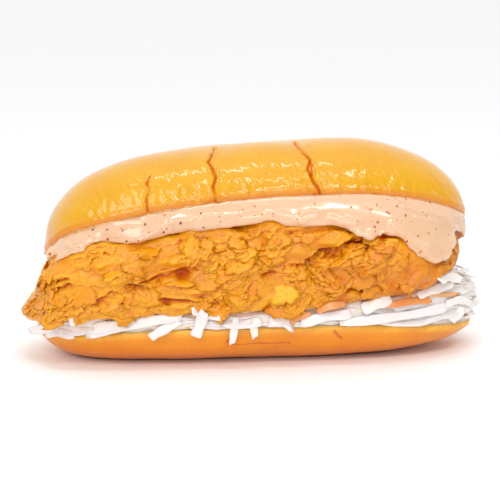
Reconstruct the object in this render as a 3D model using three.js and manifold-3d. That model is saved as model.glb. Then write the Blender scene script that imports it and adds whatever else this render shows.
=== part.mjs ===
// A fried-chicken roll: a soft bun cut in two halves, shredded cabbage and carrot, a flaky fried fillet and
// a thick pink dressing that runs over the fillet's front.
// Millimetres. +Z up, +X along the bun, the open front faces -Y. The origin is the middle of the bun's
// flat underside.

import * as THREE from "three";
import { mergeVertices } from "three/addons/utils/BufferGeometryUtils.js";
import Module from "manifold-3d";

const wasm = await Module();
wasm.setup();

// ---------------------------------------------------------------------------------------- driving sizes

const TOUCH_GAP = 0.35; // between two pieces that lie on each other

const HEEL = {
  halfLength: 84.3,
  halfWidth: 33,
  cutHeight: 16.8, // the cut face at the middle of the bun
  cutSlope: 0.06, // it rises towards the back
  cutEndDrop: 6, // it droops at both ends
  cutDish: 1.2, // pressed in by the filling
  footShare: 1.07, // how far the round underside would reach below the table, as a share of its depth
  planBlunt: 3.6, // how blunt its ends are seen from above
  footBlunt: [7, 3.6], // how blunt the underside is at the left and the right end
};

const CROWN = {
  halfLength: 81.4,
  middleX: -0.6,
  halfWidth: 32,
  height: 24.9,
  planBlunt: [4.6, 3.6], // how blunt its left and right end are seen from above
  topBlunt: [6.2, 4.4], // and seen from the front
  tiltDeg: 15, // its front edge is tipped up
  peakX: 25, // where the arched cut face is highest
  peakHeight: 55.9,
  archLeft: 0.0012, // how fast the cut face falls away to each side, per mm
  archRight: 0.002,
  lipFrom: -71, // left of here the cut face droops further, down to the fillet
  lipDrop: 4,
};

// Cracks across the crown's crust. Each climbs from the front edge to a share of the way to the crest.
const CRACKS = [
  { x: -44.6, wander: 0.6, lean: -0.5, depth: 1.3, climb: 0.45 },
  { x: -20.6, wander: 1.5, lean: 3.2, depth: 1.7, climb: 0.85 },
  { x: 18.4, wander: 1.2, lean: -7, depth: 1.6, climb: 1.0 },
];
const CRACK_HALF_WIDTH = 1.4;

const FILLET_TIPS = [-91.2, 77.4];
const FILLET_TIP_HEIGHTS = [16.6, 40.2];
// Sections of the fillet: x, underside, top, front and back, each as a height or a depth.
const FILLET_SECTIONS = [
  [-88, 15, 20.8, -12, 9],
  [-84.5, 15.2, 26, -19, 14],
  [-80.5, 15.8, 36, -26, 19],
  [-74, 17.2, 41, -32, 26],
  [-60, 18.6, 43.6, -36.5, 31],
  [-40, 19.4, 47, -38.5, 33],
  [-20, 19.8, 49.8, -39, 34],
  [0, 19.6, 52.4, -39, 34],
  [20, 20.6, 51.6, -39, 34],
  [36, 22.8, 49.2, -38.5, 33.5],
  [52, 25.8, 47.6, -36.5, 32],
  [63, 29.2, 46.8, -31, 27],
  [71, 33.2, 46, -23.5, 20],
];
const FILLET_SHAPE = {
  equator: 0.4, // where it is widest, as a share of its height
  topPower: 3.2,
  underPower: 3.6,
  topSlope: 0.25, // the top falls to the back, under the tipped crown
  underSlope: 0.05,
};
// Folds of the crust on the front: from and to as [x, z], with the depth of the crease.
const FOLDS = [
  { from: [5, 39], to: [35, 48], depth: 4.2, width: 2.6 },
  { from: [-10, 54], to: [-1, 45], depth: 3.4, width: 2.2 },
  { from: [-1, 45], to: [1, 35], depth: 3.0, width: 2.2 },
  { from: [14, 35], to: [46, 31], depth: 2.6, width: 2.0 },
  { from: [-52, 26], to: [-8, 27], depth: 2.4, width: 2.0 },
  { from: [-44, 36], to: [-20, 35], depth: 2.6, width: 2.4 },
  { from: [-84, 26], to: [-72, 29], depth: 3.0, width: 2.2 },
];

const SAUCE = {
  ends: [-80.6, 79],
  endBlunt: 9,
  thickness: 2.1, // over the crust
  rimDepth: 30.6, // it starts at the crown's front edge
  backDepth: 28,
  footProud: 2.2, // its foot stands out past the crown's edge
  bulge: 0.9,
};
// The height of the dressing's lower edge along the front of the fillet, without its drips.
const SAUCE_EDGE = [
  [-80.6, 39.4],
  [-76, 42],
  [-69, 44],
  [-63, 46.8],
  [-52, 47.6],
  [-45, 48.4],
  [-38, 50.4],
  [-23, 52],
  [-6, 53.8],
  [2, 53.8],
  [9, 53],
  [24, 53],
  [32, 51],
  [42, 49.8],
  [50, 48],
  [62, 47],
  [71, 46.8],
  [79, 50],
];
// Where it runs down: the middle and depth of each drip, and the reach and bluntness of its two sides.
const DRIPS = [
  { x: -59.2, drop: 2.4, reach: [4.5, 4.5], blunt: [3, 3] },
  { x: 37, drop: 3.4, reach: [5, 5], blunt: [3, 3] },
  { x: 62, drop: 9, reach: [12.5, 8.2], blunt: [2.2, 5] },
];

const SLAW = {
  ends: [-80, 81],
  front: -31,
  back: 30,
  frontCount: 22,
  backCount: 9,
  endCount: 8,
  depths: [5, 12.5], // of the bed, at its two ends
  shredThickness: 1.3,
};

// Flakes of crust: how many, and the span of their lengths.
const FLAKE_COUNT = 64;
const FLAKE_LENGTHS = [8, 19];
const FLAKE_THICKNESS = 1.9;

// ------------------------------------------------------------------------------------------ small helpers

const { lerp, clamp, degToRad } = THREE.MathUtils;
const power = (value, exponent) => Math.sign(value) * Math.abs(value) ** exponent;
const GOLDEN = 0.618034;
const spread = (i, ratio = GOLDEN) => (0.5 + i * ratio) % 1; // an even, never repeating scatter on 0..1

// Shares from 0 to 1 for the sections of a body, closer together at its round ends.
function sectionShares(count) {
  const shares = [];
  for (let i = 1; i < count; i++) {
    const gathered = 0.5 - 0.5 * Math.cos((Math.PI * i) / count);
    shares.push(lerp(i / count, gathered, 0.8));
  }
  return shares;
}

// A fixed pseudo-random number from 0 to 1 for a whole-number lattice point.
function lattice(x, y, z) {
  const s = Math.sin(x * 127.1 + y * 311.7 + z * 74.7) * 43758.5453;
  return s - Math.floor(s);
}

// Smooth noise from -1 to 1, with features about size mm across.
function noise(p, size, seed = 0) {
  const q = [p.x / size + seed, p.y / size + seed, p.z / size + seed];
  const cell = q.map(Math.floor);
  const [u, v, w] = q.map((value, i) => {
    const t = value - cell[i];
    return t * t * (3 - 2 * t);
  });
  const corner = (i, j, k) => lattice(cell[0] + i, cell[1] + j, cell[2] + k);
  const row = (j, k) => lerp(corner(0, j, k), corner(1, j, k), u);
  return 2 * lerp(lerp(row(0, 0), row(1, 0), v), lerp(row(0, 1), row(1, 1), v), w) - 1;
}

// A smooth curve through rows of [x, value, ...]: the values at x.
function through(rows) {
  const columns = rows[0].length - 1;
  const curve = new THREE.CubicInterpolant(
    rows.map((row) => row[0]),
    rows.flatMap((row) => row.slice(1)),
    columns,
    new Float64Array(columns),
  );
  return (x) => [...curve.evaluate(clamp(x, rows[0][0], rows.at(-1)[0]))];
}

// A closed skin over rings that follow each other along +X, with a tip at each end.
// Each ring runs from the front over the top to the back and home underneath.
function skin(rings, firstTip, lastTip) {
  const around = rings[0].length;
  const points = [firstTip, ...rings.flat(), lastTip];
  const at = (ring, k) => 1 + ring * around + (k % around);
  const faces = [];
  for (let k = 0; k < around; k++) {
    faces.push(0, at(0, k), at(0, k + 1));
    for (let ring = 0; ring < rings.length - 1; ring++) {
      faces.push(at(ring, k), at(ring + 1, k), at(ring, k + 1));
      faces.push(at(ring + 1, k), at(ring + 1, k + 1), at(ring, k + 1));
    }
    faces.push(points.length - 1, at(rings.length - 1, k + 1), at(rings.length - 1, k));
  }
  const geometry = new THREE.BufferGeometry().setFromPoints(points);
  geometry.setIndex(faces);
  return geometry;
}

// ------------------------------------------------------------------------------------- joining and cutting

function solidOf(geometry) {
  const merged = mergeVertices(geometry.clone(), 1e-4);
  return new wasm.Manifold(
    new wasm.Mesh({
      numProp: 3,
      vertProperties: new Float32Array(merged.attributes.position.array),
      triVerts: new Uint32Array(merged.index.array),
    }),
  );
}

// The largest body of a join or cut, without loose scraps and with flat slivers merged away.
function oneBody(solid) {
  const SLIVER = 0.12;
  const bodies = solid.simplify(SLIVER).decompose();
  return bodies.reduce((best, body) => (body.volume() > best.volume() ? body : best));
}

// A solid's mesh with the two ends of its very short edges made one point, where that leaves it closed.
// Where two corners of the skin meet by chance, one is drawn back by a hair.
function welded(solid) {
  const SHORTEST = 0.15;
  const HAIR = 0.03;
  const { vertProperties, triVerts } = solid.getMesh();
  const place = (i) => new THREE.Vector3().fromArray(vertProperties, 3 * i);
  const faces = [];
  for (let i = 0; i < triVerts.length; i += 3) faces.push([...triVerts.subarray(i, i + 3)]);
  const touching = Array.from({ length: vertProperties.length / 3 }, () => new Set());
  for (const face of faces) {
    for (const corner of face) touching[corner].add(face);
  }
  const near = (corner) => new Set([...touching[corner]].flat());
  for (const face of faces) {
    for (const k of [0, 1, 2]) {
      const [from, to] = [face[k], face[(k + 1) % 3]];
      if (!touching[from].has(face) || place(from).distanceTo(place(to)) > SHORTEST) continue;
      const nearTo = near(to);
      const shared = [...near(from)].filter((corner) => nearTo.has(corner));
      if (shared.length !== 4) continue; // the two ends and the two faces' far corners
      for (const other of [...touching[from]]) {
        touching[from].delete(other);
        if (other.includes(to)) {
          for (const corner of other) touching[corner].delete(other);
        } else {
          other[other.indexOf(from)] = to;
          touching[to].add(other);
        }
      }
    }
  }
  const taken = new Set();
  touching.forEach((set, corner) => {
    if (!set.size) return;
    const p = place(corner);
    const spot = p.toArray().map((value) => Math.round(value / HAIR)).join();
    if (taken.has(spot)) {
      const middle = [...near(corner)].reduce((sum, other) => sum.add(place(other)), new THREE.Vector3());
      p.lerp(middle.divideScalar(near(corner).size), 0.1).toArray(vertProperties, 3 * corner);
    }
    taken.add(spot);
  });
  const kept = new Set(touching.flatMap((set) => [...set]));
  const geometry = new THREE.BufferGeometry();
  geometry.setAttribute("position", new THREE.BufferAttribute(vertProperties, 3));
  geometry.setIndex([...kept].flat());
  return geometry;
}

// The same skin moved outwards, to cut a neighbour so that it lies clear.
function grown(geometry, distance) {
  const merged = mergeVertices(geometry.clone(), 1e-4);
  merged.computeVertexNormals();
  const place = merged.attributes.position;
  const normal = merged.attributes.normal;
  for (let i = 0; i < place.count; i++) {
    const p = new THREE.Vector3().fromBufferAttribute(place, i);
    p.addScaledVector(new THREE.Vector3().fromBufferAttribute(normal, i), distance);
    place.setXYZ(i, p.x, p.y, p.z);
  }
  merged.deleteAttribute("normal");
  return solidOf(merged);
}

// -------------------------------------------------------------------------------------- the bun's two halves

// How much of its full size a loaf still has at x: 1 in the middle, 0 at the tip.
const taper = (x, halfLength, blunt) => Math.sqrt(Math.max(0, 1 - Math.abs(x / halfLength) ** blunt));
const endOf = (x, [left, right]) => (x < 0 ? left : right); // the value for the end that x belongs to

function heelCut(x, y) {
  const end = Math.abs(x / HEEL.halfLength) ** 3;
  const flat = HEEL.cutHeight + HEEL.cutSlope * y - HEEL.cutEndDrop * end;
  const inside = 1 - (y / HEEL.halfWidth) ** 2;
  return flat - HEEL.cutDish * inside * (1 - end);
}

function heelGeometry() {
  const CUT_POINTS = 4;
  const CRUST_POINTS = 12;
  const rings = sectionShares(30).map((share) => {
    const x = lerp(-HEEL.halfLength, HEEL.halfLength, share);
    const halfWidth = HEEL.halfWidth * taper(x, HEEL.halfLength, HEEL.planBlunt);
    const depthShare = taper(x, HEEL.halfLength, endOf(x, HEEL.footBlunt));
    const ring = [];
    for (let k = 0; k < CUT_POINTS; k++) {
      const y = lerp(-1, 1, k / CUT_POINTS) * halfWidth;
      ring.push(new THREE.Vector3(x, y, heelCut(x, y)));
    }
    for (let k = 0; k < CRUST_POINTS; k++) {
      const angle = (k / CRUST_POINTS) * Math.PI;
      const bulge = 1 + 0.03 * Math.sin(2 * Math.min(angle, Math.PI - angle));
      const y = halfWidth * power(Math.cos(angle), 2 / 2.9) * bulge;
      const rim = heelCut(x, Math.sign(y) * halfWidth);
      const depth = rim * HEEL.footShare * depthShare * Math.sin(angle) ** (2 / 2.5);
      const wobble = 0.25 * noise(new THREE.Vector3(x, y, 0), 21) * Math.sin(2 * angle) ** 2;
      ring.push(new THREE.Vector3(x, y * (1 + wobble / HEEL.halfWidth), Math.max(0, rim - depth)));
    }
    return ring;
  });
  const tip = (x) => new THREE.Vector3(x, 0, heelCut(x, 0));
  return skin(rings, tip(-HEEL.halfLength), tip(HEEL.halfLength));
}

// How deep the cracks cut into the crown at a ring's place and angle, and how far they pull the ring along x.
// Angle 0 is the front edge, a quarter turn is the crest.
function crackAt(x, angle) {
  const up = clamp(angle / (Math.PI / 2), 0, 2);
  let depth = 0;
  let pull = 0;
  for (const crack of CRACKS) {
    const nearby = Math.exp(-(((x - crack.x) / 7) ** 2));
    const line = crack.wander * Math.sin(up * 7 + crack.x) + crack.lean * Math.min(up, 1);
    pull += nearby * line;
    const open = clamp(1 - Math.abs(x - crack.x) / CRACK_HALF_WIDTH, 0, 1);
    depth += crack.depth * open * clamp((crack.climb - up) / 0.3, 0, 1);
  }
  return { depth, pull };
}

// How far the arch falls at x below its peak, and how far the lip droops below the arch at the left end.
const archDrop = (x) => (x < CROWN.peakX ? CROWN.archLeft : CROWN.archRight) * (x - CROWN.peakX) ** 2;
function lipDrop(x) {
  const end = (x - CROWN.lipFrom) / (CROWN.middleX - CROWN.halfLength - CROWN.lipFrom);
  return CROWN.lipDrop * Math.max(0, end) ** 2;
}

// Half the crown's width at x, at its cut face.
const crownHalfWidth = (x) => CROWN.halfWidth * taper(x, CROWN.halfLength, endOf(x, CROWN.planBlunt));

// The crown in its own frame: its cut face lies about z = 0, arched along x.
function crownGeometry() {
  const CRUST_POINTS = 15;
  const CUT_POINTS = 3;
  const shoulders = CRACKS.flatMap((crack) => [-1, 0, 1].map((side) => crack.x + side * CRACK_HALF_WIDTH));
  const regular = sectionShares(34).map((share) => lerp(-CROWN.halfLength, CROWN.halfLength, share));
  const clear = regular.filter((x) => !shoulders.some((place) => Math.abs(place - x - CROWN.middleX) < 1.6));
  const places = [...clear, ...shoulders.map((place) => place - CROWN.middleX)].sort((a, b) => a - b);
  const rings = places.map((x) => {
    const halfWidth = crownHalfWidth(x);
    const height = CROWN.height * taper(x, CROWN.halfLength, endOf(x, CROWN.topBlunt));
    const ring = [];
    for (let k = 0; k <= CRUST_POINTS; k++) {
      const angle = (k / CRUST_POINTS) * Math.PI;
      const crack = crackAt(x + CROWN.middleX, angle);
      const swell = 1 + 0.035 * Math.sin(2 * Math.min(angle, Math.PI - angle));
      const lump = 0.7 * noise(new THREE.Vector3(x, halfWidth * Math.cos(angle), 0), 17) * Math.sin(angle);
      const inset = 1 - (crack.depth - lump) / CROWN.height;
      const y = -halfWidth * power(Math.cos(angle), 2 / 2.35) * swell * inset;
      const z = height * Math.sin(angle) ** (2 / 2.2) * inset;
      const along = x + CROWN.middleX + crack.pull * taper(x, CROWN.halfLength, 2);
      const droop = archDrop(along) + lipDrop(along) * (1 - Math.sin(angle));
      ring.push(new THREE.Vector3(along, y, z - droop));
    }
    for (let k = 1; k < CUT_POINTS; k++) {
      const from = ring[CRUST_POINTS];
      const to = ring[0];
      ring.push(new THREE.Vector3().lerpVectors(from, to, k / CUT_POINTS));
    }
    return ring;
  });
  const tip = (x) => new THREE.Vector3(x, 0, -archDrop(x) - lipDrop(x));
  return skin(rings, tip(CROWN.middleX - CROWN.halfLength), tip(CROWN.middleX + CROWN.halfLength));
}

// The height of the crown's cut face in the part's frame.
function crownCut(x, y) {
  return CROWN.peakHeight - archDrop(x) - lipDrop(x) - y * Math.tan(degToRad(CROWN.tiltDeg));
}

// ---------------------------------------------------------------------------------------------- the fillet

const filletSection = through(FILLET_SECTIONS);

// The section at x, closed to a point at each tip.
function sectionAt(x) {
  const [first, last] = [FILLET_SECTIONS[0][0], FILLET_SECTIONS.at(-1)[0]];
  const section = filletSection(x);
  const rest = clamp(x, first, last);
  const tip = endOf(x, FILLET_TIPS);
  const height = endOf(x, FILLET_TIP_HEIGHTS);
  const share = x === rest ? 1 : Math.sqrt(clamp((x - tip) / (rest - tip), 0, 1));
  const middle = (section[2] + section[3]) / 2;
  return {
    under: lerp(height, section[0], share),
    top: lerp(height, section[1], share),
    front: lerp(middle, section[2], share),
    back: lerp(middle, section[3], share),
  };
}

// A point of the fillet without its relief. Angle 0 is the front, a quarter turn is the top.
function filletPoint(x, angle) {
  const { under, top, front, back } = sectionAt(x);
  const equator = lerp(under, top, FILLET_SHAPE.equator);
  const middle = (front + back) / 2;
  const upper = Math.sin(angle) >= 0;
  const exponent = 2 / (upper ? FILLET_SHAPE.topPower : FILLET_SHAPE.underPower);
  const out = power(Math.cos(angle), exponent);
  const up = power(Math.sin(angle), exponent);
  const y = middle - (out * (back - front)) / 2;
  const slope = upper ? -FILLET_SHAPE.topSlope : -FILLET_SHAPE.underSlope;
  const z = equator + up * (upper ? top - equator : equator - under) + slope * (y - middle) * up;
  return new THREE.Vector3(x, y, z);
}

function filletNormal(x, angle) {
  const STEP = 0.02;
  const alongX = filletPoint(x + 1, angle).sub(filletPoint(x - 1, angle));
  const around = filletPoint(x, angle + STEP).sub(filletPoint(x, angle - STEP));
  return alongX.cross(around).normalize();
}

// How near a point of the front lies to a fold's line, from 0 to 1.
function foldAt(p, fold) {
  const from = new THREE.Vector2(...fold.from);
  const to = new THREE.Vector2(...fold.to);
  const here = new THREE.Vector2(p.x, p.z + 1.2 * Math.sin(p.x * 0.55));
  const line = to.clone().sub(from);
  const share = clamp(here.clone().sub(from).dot(line) / line.lengthSq(), 0, 1);
  const away = here.distanceTo(from.addScaledVector(line, share));
  return Math.exp(-((away / fold.width) ** 2));
}

// The crust's relief, in mm outwards: broad lumps, crags, ledges that climb to the right and the folds.
function crustRelief(p) {
  const broad = 1.3 * noise(p, 19, 3);
  const crags = 1.1 * (Math.abs(noise(new THREE.Vector3(p.x * 0.7, p.y, p.z), 6.5, 11)) * 2 - 0.7);
  const ledge = (p.z - 0.35 * p.x + 5 * noise(p, 16, 7)) / 7.5;
  const ledges = 1.7 * (0.5 - (ledge - Math.floor(ledge)));
  const folds = p.y < -12 ? FOLDS.reduce((sum, fold) => sum + fold.depth * foldAt(p, fold), 0) : 0;
  return broad + crags + ledges - folds;
}

// Flakes and crags fade where the fillet is pressed on the slaw and under the crown.
function showing(angle) {
  const steep = Math.abs(Math.cos(angle));
  return clamp((steep - 0.25) / 0.35, 0, 1);
}

// The fillet's skin; share 0 leaves the relief off.
function filletGeometry(stations, around, reliefShare) {
  const span = FILLET_TIPS[1] - FILLET_TIPS[0];
  const rings = [];
  for (let i = 1; i < stations; i++) {
    const even = i / stations;
    const share = even - 0.06 * Math.sin(2 * Math.PI * even); // closer together at the ends
    const x = FILLET_TIPS[0] + span * share;
    const endShare = Math.min(1, 6 * Math.min(share, 1 - share));
    const ring = [];
    for (let k = 0; k < around; k++) {
      const even = (k / around) * 2 * Math.PI;
      const angle = even - 0.24 * Math.sin(2 * even); // closer together on the front and the back
      const p = filletPoint(x, angle);
      const bare = p.y > 0 || p.z < sauceLow(x) + 1.5 ? showing(angle) : 0;
      const relief = crustRelief(p) * lerp(0.2, 1, bare) * endShare * reliefShare;
      ring.push(p.addScaledVector(filletNormal(x, angle), relief));
    }
    rings.push(ring);
  }
  const tips = FILLET_TIPS.map((x, i) => new THREE.Vector3(x, filletPoint(x, 0).y, FILLET_TIP_HEIGHTS[i]));
  return skin(rings, tips[0], tips[1]);
}

// One flake: an uneven plate that grows out of the crust at its upper edge and stands off at its lower edge.
function flakeGeometry(centre, normal, length, width, seed) {
  const SIDES = 6;
  const slant = lerp(-0.1, 0.6, lattice(seed, 7, 7));
  const along = new THREE.Vector3(Math.cos(slant), 0, Math.sin(slant));
  along.addScaledVector(normal, -along.dot(normal)).normalize();
  const across = new THREE.Vector3().crossVectors(along, normal).normalize(); // points down the front
  if (across.z > 0) across.negate();
  const layer = (sink) => {
    const points = [];
    for (let k = 0; k < SIDES; k++) {
      const angle = (k / SIDES) * 2 * Math.PI;
      const ragged = lerp(0.62, 1.2, lattice(seed, k, 1));
      const [u, v] = [Math.cos(angle) * ragged, Math.sin(angle) * ragged];
      const lift = 1.1 + 1.1 * v + 0.4 * (lattice(seed, k, 2) - 0.5) - sink;
      const p = centre.clone().addScaledVector(along, (u * length) / 2);
      points.push(p.addScaledVector(across, (v * width) / 2).addScaledVector(normal, lift));
    }
    points.push(centre.clone().addScaledVector(normal, 1.5 - sink * 1.3));
    return points;
  };
  const points = [...layer(0), ...layer(FLAKE_THICKNESS)];
  const [topMiddle, underMiddle] = [SIDES, 2 * SIDES + 1];
  const right = new THREE.Vector3().crossVectors(along, across).dot(normal) > 0;
  const faces = [];
  const add = (a, b, c) => (right ? faces.push(a, b, c) : faces.push(a, c, b));
  for (let k = 0; k < SIDES; k++) {
    const next = (k + 1) % SIDES;
    const [a, b, c, d] = [k, next, SIDES + 1 + k, SIDES + 1 + next];
    add(topMiddle, a, b);
    add(underMiddle, d, c);
    add(a, c, d);
    add(a, d, b);
  }
  return new THREE.BufferGeometry().setFromPoints(points).setIndex(faces);
}

// The dressing's lower edge at x, with its drips.
const sauceEdge = through(SAUCE_EDGE);
function sauceLow(x) {
  const drips = DRIPS.map((drip) => {
    const away = x - drip.x;
    const share = Math.abs(away / endOf(away, drip.reach));
    return drip.drop * clamp(1 - share ** endOf(away, drip.blunt), 0, 1);
  });
  return sauceEdge(x)[0] + 0.3 * Math.sin(x * 0.9) - Math.max(...drips);
}

function chickenGeometry() {
  const flakes = [];
  for (let i = 0; i < FLAKE_COUNT; i++) {
    const x = lerp(FILLET_TIPS[0] + 5, FILLET_TIPS[1] - 5, spread(i));
    const height = spread(i, 0.7548776); // from the lower edge to the upper one
    const onBack = i % 3 === 2;
    const side = lerp(-0.6, 0.8, height);
    const angle = onBack ? Math.PI - side : side;
    const p = filletPoint(x, angle);
    const normal = filletNormal(x, angle);
    const covered = !onBack && p.z > sauceLow(x) - 3;
    if (covered) continue;
    const size = lattice(i, 5, 9);
    const length = lerp(...FLAKE_LENGTHS, size * size);
    p.addScaledVector(normal, crustRelief(p) * 0.8);
    flakes.push(solidOf(flakeGeometry(p, normal, length, length * lerp(0.32, 0.55, lattice(i, 6, 2)), i)));
  }
  return welded(oneBody(wasm.Manifold.union([solidOf(filletGeometry(52, 32, 1)), ...flakes])));
}

// What is left of a layer round the fillet: first a plain hollow, then the few crags that reach further.
function clearOfFillet(layer, chicken, neighbour) {
  const HOLLOW_GAP = 1.1;
  const hollowed = layer.subtract(grown(filletGeometry(26, 18, 0), HOLLOW_GAP));
  const clear = hollowed.subtract(grown(chicken, TOUCH_GAP)).subtract(grown(neighbour, TOUCH_GAP));
  return welded(oneBody(clear).subtract(solidOf(chicken)));
}

// --------------------------------------------------------------------------------------------- the dressing

// How far forward the bare fillet reaches at a height, at or above its widest place.
function filletReach(x, z) {
  let [low, high] = [0, 1.2];
  for (let i = 0; i < 16; i++) {
    const middle = (low + high) / 2;
    if (filletPoint(x, middle).z < z) low = middle;
    else high = middle;
  }
  return -filletPoint(x, low).y;
}

function sauceGeometry() {
  const FRONT_POINTS = 6;
  const drip = DRIPS.at(-1); // the largest
  const [from, to] = [drip.x - drip.reach[0], drip.x + drip.reach[1]];
  const DRIP_RINGS = 10; // closer together towards the drip's steep side
  const places = sectionShares(38).map((share) => lerp(...SAUCE.ends, share));
  const beside = places.filter((x) => x < from || x > to);
  for (let i = 0; i <= DRIP_RINGS; i++) beside.push(lerp(from, to, 1 - (1 - i / DRIP_RINGS) ** 1.3));
  const rings = beside.sort((a, b) => a - b).map((x) => {
    const share = (x - SAUCE.ends[0]) / (SAUCE.ends[1] - SAUCE.ends[0]);
    const size = taper(share * 2 - 1, 1, SAUCE.endBlunt);
    const rim = (SAUCE.rimDepth / CROWN.halfWidth) * crownHalfWidth(x - CROWN.middleX);
    const back = (SAUCE.backDepth / SAUCE.rimDepth) * rim * size;
    const edge = lerp(sectionAt(x).top, sauceEdge(x)[0], size);
    const low = lerp(sectionAt(x).top, sauceLow(x), size);
    const high = crownCut(x, -rim) - 2 * TOUCH_GAP;
    const ring = [];
    for (let k = 0; k <= FRONT_POINTS; k++) {
      const up = k / FRONT_POINTS;
      const z = lerp(low, high, up);
      const onCrust = filletReach(x, z) + SAUCE.thickness * (1 - 0.5 * (1 - up) ** 5);
      const climb = clamp((z - edge) / (high - edge), 0, 1);
      const foot = Math.max(filletReach(x, edge) + SAUCE.thickness, rim + SAUCE.footProud);
      const slack = lerp(foot, rim, climb) + SAUCE.bulge * Math.sin(Math.PI * climb);
      ring.push(new THREE.Vector3(x, -Math.max(z > edge ? slack : 0, z < edge ? onCrust : 0), z));
    }
    for (const y of [-rim * 0.4, back * 0.3, back]) {
      ring.push(new THREE.Vector3(x, y, crownCut(x, y) - 2 * TOUCH_GAP));
    }
    const inside = sectionAt(x).top - 6;
    ring.push(new THREE.Vector3(x, back, inside - 3));
    ring.push(new THREE.Vector3(x, 0, Math.min(inside, low - 2)));
    ring.push(new THREE.Vector3(x, -filletReach(x, low) + 3.5, low + 0.6));
    return ring;
  });
  const tip = (x) => new THREE.Vector3(x, 0, sectionAt(x).top);
  return skin(rings, tip(SAUCE.ends[0]), tip(SAUCE.ends[1]));
}

// ------------------------------------------------------------------------------------------------- the slaw

const slawDepth = (x) => lerp(...SLAW.depths, clamp((x - SLAW.ends[0]) / 110, 0, 1));

// The bed of shreds between the heel and the fillet, which reaches a little into the fillet before it is cut.
function slawCoreGeometry() {
  const rings = sectionShares(26).map((share) => {
    const x = lerp(...SLAW.ends, share);
    const size = taper(share * 2 - 1, 1, 4);
    const [front, back] = [SLAW.front * size, SLAW.back * size];
    const over = (y) => heelCut(x, y) + Math.min(slawDepth(x) * size, filletUnder(x, y) + 1 - heelCut(x, y));
    const ring = [front, front * 0.5, 0, back * 0.5, back].map((y) => new THREE.Vector3(x, y, over(y)));
    for (const y of [back * 0.94, back * 0.5, 0, front * 0.5, front * 0.94]) {
      ring.push(new THREE.Vector3(x, y, heelCut(x, y) + 1.4 * TOUCH_GAP));
    }
    return ring;
  });
  const tip = (x) => new THREE.Vector3(x, 0, heelCut(x, 0) + 1);
  return skin(rings, tip(SLAW.ends[0]), tip(SLAW.ends[1]));
}

// The height of the bare fillet's underside.
function filletUnder(x, y) {
  const { under, top, front, back } = sectionAt(x);
  const equator = lerp(under, top, FILLET_SHAPE.equator);
  const out = clamp((2 * (y - (front + back) / 2)) / (back - front), -1, 1);
  const down = (1 - Math.abs(out) ** FILLET_SHAPE.underPower) ** (1 / FILLET_SHAPE.underPower);
  return equator - (equator - under) * down;
}

// One shred: a strip with a flat section along a path.
function shredGeometry(path, width, thickness, flat) {
  const PIECES = 3;
  const curve = new THREE.CatmullRomCurve3(path);
  const rings = [];
  for (let i = 0; i <= PIECES; i++) {
    const share = i / PIECES;
    const p = curve.getPointAt(share);
    const along = curve.getTangentAt(share);
    const side = new THREE.Vector3().crossVectors(flat, along).normalize();
    const up = new THREE.Vector3().crossVectors(along, side).normalize();
    const half = (width / 2) * (0.55 + 0.45 * Math.sin(Math.PI * lerp(0.12, 0.88, share)));
    rings.push(
      [
        [-half, -thickness / 2],
        [-half, thickness / 2],
        [half, thickness / 2],
        [half, -thickness / 2],
      ].map(([s, u]) => p.clone().addScaledVector(side, s).addScaledVector(up, u)),
    );
  }
  return skin(rings, curve.getPointAt(0), curve.getPointAt(1));
}

const v = (x, y, z) => new THREE.Vector3(x, y, z);

// Shreds that lie along the edge of the bed, round both sides.
function lyingShred(i) {
  const front = i < SLAW.frontCount;
  const overRim = front && i % 3 === 0;
  const crowded = spread(i) ** 0.85; // more of them where the bed is thick
  const x = lerp(SLAW.ends[0] + 6, SLAW.ends[1] - 8, crowded);
  const length = lerp(15, 30, lattice(i, 3, 1));
  const level = spread(i, 0.7548776);
  const path = [-0.5, -0.17, 0.17, 0.5].map((share, k) => {
    const px = clamp(x + share * length, SLAW.ends[0] - 3, SLAW.ends[1] + 3);
    const edge = (front ? SLAW.front - 0.6 : SLAW.back + 0.6) * taper(px, SLAW.ends[1] + 5, 4.4);
    const proud = 1.8 * (lattice(i, k, 7) - 0.35) * (front ? -1 : 1);
    const y = edge + proud - (overRim ? 2.4 : 0);
    const room = clamp(filletUnder(px, y * 0.94) - heelCut(px, y), 1.8, slawDepth(px));
    const tilt = share * 0.5 * room * lerp(-1, 1, lattice(i, 8, 4));
    const lowest = overRim ? 0 : 1.2;
    return v(px, y, heelCut(px, y) + clamp(lerp(lowest, room - 0.4, level) + tilt, lowest, room));
  });
  const upright = v(0, front ? -1 : 1, 0.5).normalize();
  return shredGeometry(path, lerp(2.2, 4.0, lattice(i, 4, 3)), SLAW.shredThickness, upright);
}

// A shred that comes out of the bed and hangs down over the crust.
function hangingShred(x, drop, width, lean) {
  const rim = HEEL.halfWidth * taper(x, HEEL.halfLength, HEEL.planBlunt);
  const z = heelCut(x, -rim);
  const out = -rim - 1.9;
  const path = [
    v(x - lean, -rim + 5, z + 3),
    v(x - lean * 0.6, -rim - 0.6, z + 2.4),
    v(x, out - 0.6, z - 1),
    v(x + lean, out - 0.3, z - drop),
  ];
  return shredGeometry(path, width, SLAW.shredThickness, v(0, -1, 0.25).normalize());
}

// A shred that sticks out past an end of the bun.
function endShred(from, to, width) {
  const middle = from.clone().lerp(to, 0.5).add(v(0, 0, 0.8));
  return shredGeometry([from, middle, to], width, SLAW.shredThickness, v(0, -0.5, 1).normalize());
}

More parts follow.
